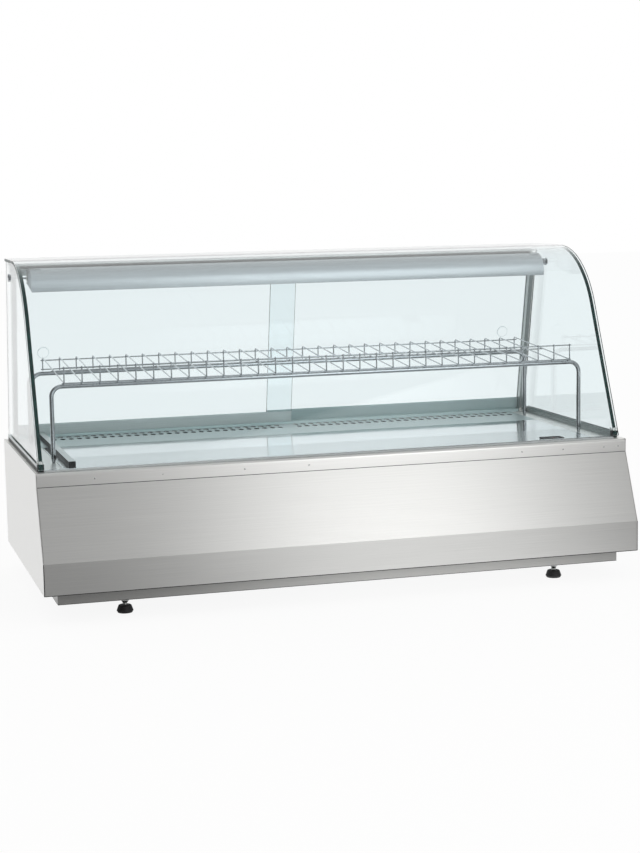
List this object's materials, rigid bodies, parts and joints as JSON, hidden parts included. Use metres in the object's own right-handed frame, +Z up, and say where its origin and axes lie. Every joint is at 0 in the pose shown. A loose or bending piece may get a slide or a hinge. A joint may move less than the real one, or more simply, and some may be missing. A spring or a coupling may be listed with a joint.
{
  "type": "refrigerated display case",
  "caption": "Counter-top refrigerated display case: curved tilting front glass, lamp, lift-off wire shelf, sliding rear doors, steel base with cooling machinery and levelling feet.",
  "frame": {"origin": "on the counter, under the middle of the case's bounding box", "axes": "+X to the customer's right along the length, +Y to the back with the sliding doors, +Z up; the curved glass faces -Y"},
  "size_m": [1.3, 0.62, 0.7147],
  "materials": {
    "brushed_steel": "brushed stainless steel sheet",
    "polished_steel": "polished stainless steel sheet",
    "galvanised": "galvanised steel sheet",
    "chrome": "chrome plated steel wire and tube",
    "aluminium": "anodised aluminium extrusion",
    "coil": "aluminium fins on copper tube",
    "black_paint": "black enamelled steel",
    "black_plastic": "moulded black plastic",
    "grey_plastic": "moulded grey plastic",
    "white_plastic": "moulded white plastic",
    "foam_tub": "moulded liner over insulating foam",
    "rubber": "moulded rubber",
    "lamp_glass": "frosted white tube",
    "clear_glass": "clear float glass, ground edges"
  },
  "bodies": {
    "base": {"side_panel_left": "brushed_steel", "side_panel_right": "brushed_steel", "front_panel": "brushed_steel", "deck_frame": "brushed_steel", "front_plate": "brushed_steel", "display_floor": "polished_steel", "duct_cover_left": "brushed_steel", "duct_cover_right": "brushed_steel", "well_tub": "foam_tub", "base_pan": "galvanised", "plinth": "brushed_steel", "rear_panel": "brushed_steel", "evaporator": "coil", "blower_housing": "galvanised", "compressor": "black_paint", "condenser": "coil", "condenser_fan_shroud": "galvanised", "drain_tray": "white_plastic", "drain_pipe": "white_plastic", "control_bezel": "grey_plastic", "temperature_controller": "black_plastic", "cable_gland": "black_plastic", "side_glass_left": "clear_glass", "side_glass_right": "clear_glass", "glass_channel_left": "aluminium", "glass_channel_right": "aluminium", "channel_cap_left": "black_plastic", "channel_cap_right": "black_plastic", "glass_seal": "rubber", "top_rail": "aluminium", "rear_post_left": "aluminium", "rear_post_right": "aluminium", "door_track": "aluminium", "lamp_housing": "aluminium", "lamp_tube": "lamp_glass", "lamp_bolt_left": "chrome", "lamp_bolt_right": "chrome", "shelf_front_frame": "chrome", "shelf_rear_frame": "chrome", "thermometer": "black_plastic", "sensor_conduit": "aluminium", "conduit_cap": "grey_plastic"},
    "front_glass": {"front_glass": "clear_glass", "glass_hinge": "aluminium"},
    "door_left": {"door_glass_left": "clear_glass", "door_rail_left": "aluminium"},
    "door_right": {"door_glass_right": "clear_glass", "door_rail_right": "aluminium"},
    "wire_shelf": {"wire_shelf": "chrome"},
    "foot_front_left": {"foot_front_left": "rubber"},
    "foot_front_right": {"foot_front_right": "rubber"},
    "foot_rear_left": {"foot_rear_left": "rubber"},
    "foot_rear_right": {"foot_rear_right": "rubber"},
    "condenser_fan": {"condenser_fan": "aluminium"},
    "blower_rotor": {"blower_rotor": "black_plastic"},
    "main_switch": {"main_switch": "black_plastic"},
    "light_switch": {"light_switch": "black_plastic"},
    "controller_key_1": {"controller_key_1": "grey_plastic"},
    "controller_key_2": {"controller_key_2": "grey_plastic"},
    "controller_key_3": {"controller_key_3": "grey_plastic"}
  },
  "joints": [
    {"name": "glass_tilt", "type": "hinge", "parent": "base", "child": "front_glass", "pos_m": [0, 0.23596, 0.7069], "axis": [-1, 0, 0], "range_deg": [0, 65]},
    {"name": "door_left_slide", "type": "slide", "parent": "base", "child": "door_left", "axis": [1, 0, 0], "range_m": [0, 0.58]},
    {"name": "door_right_slide", "type": "slide", "parent": "base", "child": "door_right", "axis": [-1, 0, 0], "range_m": [0, 0.58]},
    {"name": "shelf_lift", "type": "slide", "parent": "base", "child": "wire_shelf", "axis": [0, 0, 1], "range_m": [0, 0.014]},
    {"name": "foot_front_left_screw", "type": "slide", "parent": "base", "child": "foot_front_left", "axis": [0, 0, -1], "range_m": [0, 0.01]},
    {"name": "foot_front_right_screw", "type": "slide", "parent": "base", "child": "foot_front_right", "axis": [0, 0, -1], "range_m": [0, 0.01]},
    {"name": "foot_rear_left_screw", "type": "slide", "parent": "base", "child": "foot_rear_left", "axis": [0, 0, -1], "range_m": [0, 0.01]},
    {"name": "foot_rear_right_screw", "type": "slide", "parent": "base", "child": "foot_rear_right", "axis": [0, 0, -1], "range_m": [0, 0.01]},
    {"name": "condenser_fan_spin", "type": "hinge", "parent": "base", "child": "condenser_fan", "pos_m": [0.43, 0.188, 0.1255], "axis": [0, 1, 0], "continuous": true},
    {"name": "blower_spin", "type": "hinge", "parent": "base", "child": "blower_rotor", "pos_m": [-0.12, -0.013, 0.2592], "axis": [1, 0, 0], "continuous": true},
    {"name": "main_switch_rock", "type": "hinge", "parent": "base", "child": "main_switch", "pos_m": [-0.577, 0.3015, 0.19], "axis": [-1, 0, 0], "range_deg": [0, 14]},
    {"name": "light_switch_rock", "type": "hinge", "parent": "base", "child": "light_switch", "pos_m": [-0.549, 0.3015, 0.19], "axis": [-1, 0, 0], "range_deg": [0, 14]},
    {"name": "controller_key_1_press", "type": "slide", "parent": "base", "child": "controller_key_1", "axis": [0, -1, 0], "range_m": [0, 0.001], "stiffness_N_per_m": 400},
    {"name": "controller_key_2_press", "type": "slide", "parent": "base", "child": "controller_key_2", "axis": [0, -1, 0], "range_m": [0, 0.001], "stiffness_N_per_m": 400},
    {"name": "controller_key_3_press", "type": "slide", "parent": "base", "child": "controller_key_3", "axis": [0, -1, 0], "range_m": [0, 0.001], "stiffness_N_per_m": 400}
  ]
}
